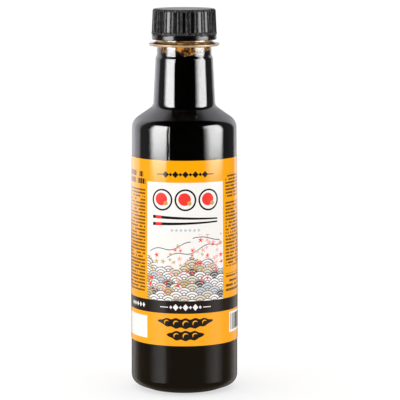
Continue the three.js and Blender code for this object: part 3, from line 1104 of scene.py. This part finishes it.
FROTH_SEED = 20
SMALL_BIAS = 2.4
GATHERED_SHARE = 0.6
GATHERED_SPREAD = 0.62
FOOT_CLEARANCE = 0.3
BUBBLE_SINK = (0.7, 0.95)
BUBBLE_STRETCH = (0.88, 1.04)
TONE_STEP = (0.2, 0.8)
# Painted light: bubbles near this facing and above the level get a painted orange glow
PAINTED_GLOW_FACING = -12.0
PAINTED_GLOW_SPREAD = 6.5
PAINTED_GLOW_HEIGHT = 0.4 * MM
BUBBLE_ROWS = 9
BUBBLE_COLUMNS = 14
FILM_ROWS = 32
FILM_SINK = 0.3 * MM
FILM_WANDER = 0.5 * MM
FILM_GAP = 0.05 * MM


class SOY_OT_froth(bpy.types.Operator):
    """Sets amber bubbles on the sauce and a wet film on the wall above it"""

    bl_idname = "soy_bottle.froth"
    bl_label = "Froth"

    def execute(self, context):
        sizes = settings().bottle
        sauce = settings().sauce
        draw = np.random.default_rng(FROTH_SEED)
        count = sauce.bubble_count
        larger = draw.random(count) ** SMALL_BIAS
        size = sauce.small_bubble + (sauce.large_bubble - sauce.small_bubble) * larger
        cluster = FROTH_CLUSTERS[draw.choice(len(FROTH_CLUSTERS), count, p=FROTH_CLUSTERS[:, 3])]
        gathered = np.radians(cluster[:, 0] + GATHERED_SPREAD * cluster[:, 1] * draw.standard_normal(count))
        scattered = draw.random(count) >= GATHERED_SHARE
        angle = np.where(scattered, draw.uniform(-math.pi, math.pi, count), gathered)
        low = froth_foot(sauce, angle) + FOOT_CLEARANCE * size
        height = low + (sauce.film_foot - low) * draw.random(count)
        away = neck_inside(sizes, height) + sauce.reach - size * draw.uniform(*BUBBLE_SINK, count)
        centres = np.stack([away * np.sin(angle), -away * np.cos(angle), height], axis=1)
        polar = np.linspace(0.0, math.pi, BUBBLE_ROWS)
        profile = np.stack([np.sin(polar), -np.cos(polar)], axis=1)
        profile[[0, -1], 0] = 0.0
        ball = turned(profile, BUBBLE_COLUMNS)
        scales = size[:, None] * draw.uniform(*BUBBLE_STRETCH, (count, 3))
        piece = make_piece("froth_bubbles", copies(*ball, scales, centres), froth_bubble(sauce))
        # Painted glow: a bell of the facing, above the level, lifts a bubble's tone over 1
        glow = np.exp(-((np.degrees(angle) - PAINTED_GLOW_FACING) / PAINTED_GLOW_SPREAD) ** 2)
        tone = ease(*TONE_STEP, draw.random(count)) + glow * (height > sauce.level + PAINTED_GLOW_HEIGHT)
        layer = piece.data.attributes.new(BUBBLE_TONE_AND_PAINTED_GLOW, "FLOAT", "POINT")
        layer.data.foreach_set("value", np.repeat(tone, len(ball[0])).astype(np.float32))
        self.film(sizes, sauce)
        return {"FINISHED"}

    def film(self, sizes, sauce):
        """Thin ring on the neck's inside. Its foot follows the sauce's edge, and its upper edge wanders
        with three sines round the neck."""
        angle = around(BODY_COLUMNS)
        wander = np.sin(3 * angle) + 0.6 * np.sin(7 * angle + 1.0) + 0.4 * np.sin(13 * angle + 2.0)
        low = froth_foot(sauce, angle) - FILM_SINK
        high = sauce.film_top + FILM_WANDER * wander
        share = np.linspace(0.0, 1.0, FILM_ROWS)[:, None]
        rise = low + (high - low) * share
        outer = neck_inside(sizes, rise) + sauce.reach - FILM_GAP
        height = np.vstack([rise, rise[::-1]])
        radius = np.vstack([outer, outer[::-1] - sauce.film_thickness])
        make_piece("neck_film", swept(radius, height, angle, ring=True), wet_film(sauce))


LABEL_COLUMNS = 360
LABEL_ROWS = 12
LAP_RISE = 1.4


class SOY_OT_label(bpy.types.Operator):
    """Wraps the printed film round the body, with its end laid over its start at the back"""

    bl_idname = "soy_bottle.label"
    bl_label = "Label"

    def execute(self, context):
        sizes = settings().bottle
        design = settings().label
        angle = np.linspace(-math.pi, math.pi, LABEL_COLUMNS + 1)
        height = np.linspace(design.bottom, design.top, LABEL_ROWS)
        wall = body_radius(sizes, height)[:, None] + design.play
        lap = design.overlap / sizes.belly_radius
        over = ease(math.pi - LAP_RISE * lap, math.pi - lap, angle) * design.thickness
        outer = wall + design.thickness + over
        inner = wall + 0.0 * angle
        radius = np.vstack([outer, inner[::-1]])
        rows = np.concatenate([height, height[::-1]])[:, None]
        surface = swept(radius, rows, angle, ring=True)
        piece = make_piece("label_film", surface, label_print(design))
        self.lay_out(piece.data, angle, rows, sizes)
        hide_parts("label")
        return {"FINISHED"}

    def lay_out(self, mesh, angle, rows, sizes):
        """The film's own map: millimetres along it from the front, and millimetres up from the floor."""
        along = np.repeat(angle[None] * sizes.belly_radius / MM, len(rows), axis=0)
        up = np.repeat(rows / MM, len(angle), axis=1)
        flat = np.stack([along.ravel(), up.ravel()], axis=1)
        corner = np.empty(len(mesh.loops), dtype=np.int32)
        mesh.loops.foreach_get("vertex_index", corner)
        layer = mesh.uv_layers.new(name=LABEL_UV)
        layer.uv.foreach_set("vector", flat[corner].astype(np.float32).ravel())


BRIDGE_SAMPLES = 24
BRIDGE_SIDE = (0.3, 0.6)
BRIDGE_INSET = 0.3 * MM
BRIDGE_DEPTH = 0.4 * MM
BRIDGE_BACK = 0.05 * MM
BAND_EDGE_ROUND = 0.15 * MM


class SOY_OT_tamper_band(bpy.types.Operator):
    """Turns the tamper band and raises the thin bridges that join it to the cap"""

    bl_idname = "soy_bottle.tamper_band"
    bl_label = "Tamper Band"

    def execute(self, context):
        cap = settings().cap
        columns = cap.bridge_count * BRIDGE_SAMPLES
        angle = around(columns)
        bridge_face = cap.band_radius - BRIDGE_INSET
        bridge_back = bridge_face - BRIDGE_DEPTH
        profile = outline([
            (cap.band_inner_radius, cap.band_bottom, 0.0),
            (cap.band_radius, cap.band_bottom, cap.band_round),
            (cap.band_radius, cap.band_top, BAND_EDGE_ROUND),
            (bridge_face, cap.band_top, 0.0),
            (bridge_back, cap.band_top, 0.0),
            (bridge_back - BRIDGE_BACK, cap.band_top, 0.0),
            (cap.band_inner_radius, cap.band_top, 0.0),
        ])
        radius = np.repeat(profile[:, :1], columns, axis=1)
        phase = (angle * cap.bridge_count / (2 * math.pi)) % 1.0 - 0.5
        off = np.abs(phase) * 2 * math.pi * cap.band_radius / cap.bridge_count
        bridge = 1.0 - ease(*[share * cap.bridge_width for share in BRIDGE_SIDE], off)
        bridge_rows = np.zeros((len(profile), 1))
        bridge_rows[-4:-2] = cap.bottom - cap.band_top
        height = profile[:, 1:] + bridge_rows * bridge
        height[-2:] = cap.bottom
        surface = swept(radius, height, angle, ring=True)
        piece = make_piece("tamper_ring", surface, smooth_plastic(cap))
        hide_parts("tamper_band")
        return {"FINISHED"}


PAIR_SAMPLES = 48
RAMP_ROWS = 14
GROOVE_SHARE = 0.35
CEILING_ROUND = 0.6 * MM
RIM_ROUND = 0.2 * MM
RIM_SLOPE = 0.1 * MM
HEAD_EDGE = 0.05 * MM
FLAT_TOP = 0.01 * MM
SAME_RADIUS = 1e-6


class SOY_OT_cap(bpy.types.Operator):
    """Makes the ribbed cap: a tapering barrel whose radius drops between the ribs, over a hollow inside"""

    bl_idname = "soy_bottle.cap"
    bl_label = "Screw Cap"

    def execute(self, context):
        cap = settings().cap
        angle = around(cap.rib_pairs * PAIR_SAMPLES)
        profile, depth = self.outside(cap)
        groove = self.groove(cap, angle)
        radius = np.maximum(profile[:, :1] - depth * groove, 0.0)
        surface = swept(radius, profile[:, 1:], angle)
        piece = make_piece("ribbed_cap", surface, matt_plastic(cap))
        self.smooth_faces(cap, piece.data)
        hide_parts("cap")
        return {"FINISHED"}

    def groove(self, cap, angle):
        """How deep the barrel is cut at each angle, from 0 on a rib to 1 on a groove's floor. A rib's
        middle lies half a wide groove and half a rib away from the middle of the nearest wide groove, and
        its sides rise as a smooth step of the distance to that middle."""
        turns = (angle - cap.groove_facing) * cap.rib_pairs / (2 * math.pi)
        from_wide = np.abs(turns - np.round(turns)) * 2 * math.pi * cap.rib_foot_radius / cap.rib_pairs
        from_rib = np.abs(from_wide - (cap.wide_groove + cap.rib_width + cap.rib_edge) / 2)
        return ease((cap.rib_width - cap.rib_edge) / 2, (cap.rib_width + cap.rib_edge) / 2, from_rib)

    def smooth_faces(self, cap, mesh):
        """Gives smooth plastic to the floors and sides of the grooves, and a duller one to the flat top."""
        mesh.materials.append(smooth_plastic(cap))
        mesh.materials.append(smooth_plastic(cap, "dull_plastic", DULL_ROUGHNESS))
        centre = np.empty(3 * len(mesh.polygons), dtype=np.float32)
        mesh.polygons.foreach_get("center", centre)
        across, back, up = centre.reshape(-1, 3).T
        far = np.hypot(across, back)
        between = (up > cap.rim_top + 0.5 * cap.ramp) & (up < cap.top - cap.edge_round)
        grooved = self.groove(cap, np.arctan2(across, -back)) > GROOVE_SHARE
        floor = between & grooved & (far > cap.inner_radius)
        top = (up > cap.top - FLAT_TOP) & (far < cap.rib_head_radius - cap.edge_round)
        mesh.polygons.foreach_set("material_index", (floor + 2 * top).astype(np.int32))

    def outside(self, cap):
        """Outline from the ceiling's middle down the inside, round the rim and up to the top's middle,
        with the depth of the grooves at each point. Grooves run out over the ramp and at the top edge."""
        corners = outline([
            (0.0, cap.ceiling, 0.0),
            (cap.inner_radius, cap.ceiling, CEILING_ROUND),
            (cap.inner_radius, cap.bottom, 0.0),
            (cap.radius, cap.bottom, RIM_ROUND),
            (cap.radius, cap.rim_top, RIM_ROUND),
            (cap.rib_foot_radius, cap.rim_top + RIM_SLOPE, 0.0),
            (cap.rib_head_radius, cap.top, cap.edge_round),
            (0.0, cap.top, 0.0),
        ])
        foot = len(corners) - 1 - np.argmax(corners[::-1, 0] >= cap.rib_foot_radius - SAME_RADIUS)
        share = np.linspace(0.0, 1.0, RAMP_ROWS)[1:-1, None]
        ramp = corners[foot] + share * (corners[foot + 1] - corners[foot])
        profile = np.vstack([corners[:foot + 1], ramp, corners[foot + 1:]])
        outside = np.arange(len(profile)) >= foot
        rise = ease(cap.rim_top, cap.rim_top + cap.ramp, profile[:, 1])
        head = cap.rib_head_radius
        fall = 1.0 - ease(head - HEAD_EDGE, head - cap.edge_round, profile[:, 0])
        return profile, (cap.rib_height * rise * fall * outside)[:, None]


def track(location, target):
    """Rotation that points an object's own -Z from a place to a target."""
    return (Vector(target) - Vector(location)).to_track_quat("-Z", "Y").to_euler()


SENSOR_WIDTH = 36.0
CLIP_END = 100.0
FLOOR_GLOW = 0.61
FLOOR_SIDES = 96
FLOOR_INNER_RADIUS = 0.5

# What reflections see: the room in front, the table under it and the backdrop behind the bottle
ROOM_LEFT, ROOM_RIGHT = grey(0.22), grey(0.13)
TABLE_FRONT = (0.19, 0.14, 0.09, 1.0)
# Painted shadow: the middle of the table behind the bottle is dark, in place of the bottle's own shadow on
# it
TABLE_PAINTED_SHADOW = (0.06, 0.05, 0.04, 1.0)
TABLE_SIDES = (0.78, 0.72, 0.68, 1.0)
BACKDROP_MIDDLE, BACKDROP_COLUMN = grey(0.38), grey(1.0)
BACKDROP_LEFT = (1.74, 1.70, 1.80, 1.0)
BACKDROP_RIGHT = (1.35, 1.32, 1.4, 1.0)

# Light on matt surfaces
SOFT_LIGHT, SOFT_LIGHT_LEFT = grey(1.2), grey(1.7)

# Soft boxes: facing and half angle in degrees, radiance, and the share of the width that the left and the
# right side take to grow bright
STRIP_AWAY = 1.2
TALL_HEIGHTS = (-0.06, 1.12)
TALL_STRIPS = {
    "box_left": (-60.55, 24.25, 17.0, (0.41, 0.105)),
    "box_right": (68.65, 28.15, 14.5, (0.44, 0.21)),
}
LOW_HEIGHTS = (-0.5, -0.1)
LOW_STRIPS = {
    "low_left": (-59.3, 25.5, 0.85, (0.62, 0.28)),
    "low_right": (67.5, 29.3, 0.725, (0.62, 0.47)),
}
STRIP_FOOT_FADE = (0.015, 0.07)
STRIP_HEAD_FADE = (1.0, 0.9)


class SOY_OT_studio(bpy.types.Operator):
    """Sets the pale floor, the soft light and the camera"""

    bl_idname = "soy_bottle.studio"
    bl_label = "Studio"

    def execute(self, context):
        studio = settings().studio
        self.camera(studio)
        self.floor(studio)
        self.world()
        self.lamps()
        bpy.context.scene.view_settings.view_transform = "Standard"
        return {"FINISHED"}

    def camera(self, studio):
        """Camera level with the aim's offset, raised by its elevation, looking straight at the aim."""
        aim = Vector((studio.aim_aside, 0.0, studio.aim_height))
        back = Vector((0.0, -math.cos(studio.elevation), math.sin(studio.elevation)))
        lens = bpy.data.cameras.new("camera")
        lens.sensor_width = SENSOR_WIDTH
        lens.lens = studio.lens
        lens.clip_end = CLIP_END
        camera = bpy.data.objects.new("camera", lens)
        camera.location = aim + back * studio.distance
        camera.rotation_euler = track(camera.location, aim)
        bpy.context.scene.collection.objects.link(camera)
        bpy.context.scene.camera = camera

    def floor(self, studio):
        """Round pale floor, left out of reflections so that the dark bottle stays dark."""
        shades = Shades(bpy.data.materials.new("pale_floor"))
        mottle = shades.stretch(shades.noise(shades.place(), 3.0), 0.985, 1.0)
        colour = shades.node("ShaderNodeVectorMath", {0: tuple(studio.floor_colour), "Scale": mottle},
                             operation="SCALE").outputs[0]
        material = shades.finish(Base_Color=colour, Roughness=0.9, Specular_IOR_Level=0.1,
                                 Emission_Color=grey(1.0), Emission_Strength=FLOOR_GLOW)
        ring = np.array([[0.0, 0.0], [FLOOR_INNER_RADIUS, 0.0], [studio.floor_radius, 0.0]])
        points, quads, triangles = turned(ring, FLOOR_SIDES)
        mesh = bpy.data.meshes.new("floor")
        mesh.from_pydata(points.tolist(), [], quads[:, ::-1].tolist() + triangles[:, ::-1].tolist())
        mesh.materials.append(material)
        floor = bpy.data.objects.new("floor", mesh)
        floor.visible_glossy = False
        bpy.context.scene.collection.objects.link(floor)

    def world(self):
        """Plain white to look at, and a soft light for matt surfaces that is stronger on the left. Mirror
        rays see a bright backdrop behind the bottle and a dark room in front, with a warm table under
        both. The table's middle behind the bottle is dark, a painted shadow of the bottle. X is to the
        right, Y to the back and Z up."""
        world = bpy.data.worlds.new("studio")
        bpy.context.scene.world = world
        shades = Shades(world)
        parts = shades.parts(shades.node("ShaderNodeTexCoord").outputs["Generated"])
        at_right = shades.soft(parts["X"], -0.2, 0.2)
        raised = shades.soft(parts["Z"], -0.145, -0.125)
        off_middle = shades.sum("ABSOLUTE", parts["X"])
        room = self.room(shades, parts, at_right)
        room = shades.blend(TABLE_FRONT, room, raised)
        # Painted shadow: the reflected table darkens towards its middle behind the bottle
        table = shades.blend(TABLE_PAINTED_SHADOW, TABLE_SIDES, shades.soft(off_middle, 0.08, 0.7))
        backdrop = shades.blend(table, self.backdrop(shades, parts, at_right, off_middle), raised)
        behind = self.behind(shades, parts, at_right)
        behind = shades.stretch(raised, shades.soft(parts["Y"], 0.3, 0.9), behind)
        rays = shades.node("ShaderNodeLightPath").outputs
        mirror = shades.sum("SUBTRACT", rays["Is Glossy Ray"], rays["Is Transmission Ray"])
        soft_light = shades.blend(SOFT_LIGHT, SOFT_LIGHT_LEFT, shades.soft(parts["X"], -0.25, -0.95))
        colour = shades.blend(grey(1.0), soft_light, rays["Is Diffuse Ray"])
        mirrored = shades.blend(room, backdrop, behind)
        colour = shades.blend(colour, mirrored, shades.sum("GREATER_THAN", mirror, 0.5))
        shades.feed(shades.tree.nodes["Background"].inputs["Color"], colour)
        world.cycles.sampling_method = "NONE"

    def room(self, shades, parts, at_right):
        """Dim room that goes black straight in front and overhead."""
        aside = shades.soft(parts["Y"], -0.75, -0.1)
        level = shades.sum("MULTIPLY", aside, shades.soft(parts["Z"], 0.9, 0.5))
        return shades.blend(grey(0.0), shades.blend(ROOM_LEFT, ROOM_RIGHT, at_right), level)

    def backdrop(self, shades, parts, at_right, off_middle):
        """Backdrop that is bright at both sides and dimmer in its middle, apart from a narrow column."""
        narrow = shades.soft(off_middle, 0.14, 0.04)
        column = shades.sum("MULTIPLY", shades.soft(parts["Z"], 0.0, 0.1), narrow)
        middle = shades.blend(BACKDROP_MIDDLE, BACKDROP_COLUMN, column)
        sides = shades.blend(BACKDROP_LEFT, BACKDROP_RIGHT, at_right)
        return shades.blend(middle, sides, shades.soft(off_middle, 0.05, 0.6))

    def behind(self, shades, parts, at_right):
        """Share of the backdrop: its edge leans forward as it rises, more so on the right."""
        up = shades.sum("MAXIMUM", parts["Z"], 0.0)
        left_edge = shades.sum("MULTIPLY_ADD", up, -0.125, 0.40)
        right_edge = shades.sum("MULTIPLY_ADD", up, -0.5, 0.77)
        spread = shades.sum("SUBTRACT", right_edge, left_edge)
        edge = shades.sum("MULTIPLY_ADD", at_right, spread, left_edge)
        return shades.soft(shades.sum("SUBTRACT", parts["Y"], edge), -0.07, 0.09)

    def strip(self, name, heights, facing, half_angle, radiance, fade):
        """A soft box that shows in reflections alone. Facing and half angle, in degrees, say where it
        stands and how wide it looks from the bottle, and fade gives the share of its width that each side
        takes to grow bright."""
        low, high = heights
        way = math.radians(facing)
        middle = Vector((STRIP_AWAY * math.sin(way), -STRIP_AWAY * math.cos(way), (low + high) / 2))
        light = bpy.data.lights.new(name, "AREA")
        light.shape = "RECTANGLE"
        light.size = 2 * STRIP_AWAY * math.tan(math.radians(half_angle))
        light.size_y = high - low
        light.energy = radiance * math.pi * light.size * light.size_y
        shades = Shades(light)
        spot = shades.parts(shades.node("ShaderNodeNewGeometry").outputs["Parametric"])
        across = shades.window(spot["X"], (0.0, fade[0]), (1.0, 1.0 - fade[1]))
        up = shades.window(spot["Y"], STRIP_FOOT_FADE, STRIP_HEAD_FADE)
        glow = shades.sum("MULTIPLY", across, up)
        shades.feed(shades.tree.nodes["Emission"].inputs["Strength"], glow)
        lamp = bpy.data.objects.new(name, light)
        lamp.location = middle
        lamp.rotation_euler = track(middle, (0.0, 0.0, middle.z))
        lamp.visible_diffuse = False
        lamp.visible_camera = False
        bpy.context.scene.collection.objects.link(lamp)

    def lamps(self):
        """Two tall soft boxes that draw the highlights, and their dim images in the table."""
        for heights, strips in ((TALL_HEIGHTS, TALL_STRIPS), (LOW_HEIGHTS, LOW_STRIPS)):
            for name, shape in strips.items():
                self.strip(name, heights, *shape)


STEPS = (
    SOY_OT_clear_bottle, SOY_OT_sauce, SOY_OT_froth, SOY_OT_label, SOY_OT_tamper_band, SOY_OT_cap,
    SOY_OT_studio,
)


class SOY_PT_bottle(bpy.types.Panel):
    """Lists the steps and the settings that a user would change"""

    bl_label = "Soy Sauce Bottle"
    bl_idname = "SOY_PT_bottle"
    bl_space_type = "VIEW_3D"
    bl_region_type = "UI"
    bl_category = "Soy Bottle"

    def draw(self, context):
        layout = self.layout
        for step in STEPS:
            layout.operator(step.bl_idname)
        for name in SoyBottleSettings.__annotations__:
            group = getattr(context.scene.soy_bottle, name)
            box = layout.box()
            for key in group.__annotations__:
                box.prop(group, key)


CLASSES = (
    BottleSizes, SauceSizes, CapSizes, LabelDesign, StudioSetup, SoyBottleSettings, *STEPS, SOY_PT_bottle,
)


def register():
    for item in CLASSES:
        bpy.utils.register_class(item)
    bpy.types.Scene.soy_bottle = PointerProperty(type=SoyBottleSettings)


def unregister():
    del bpy.types.Scene.soy_bottle
    for item in reversed(CLASSES):
        bpy.utils.unregister_class(item)


def main():
    """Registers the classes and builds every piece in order."""
    register()
    for step in STEPS:
        family, name = step.bl_idname.split(".")
        getattr(getattr(bpy.ops, family), name)()


if __name__ == "__main__":
    main()
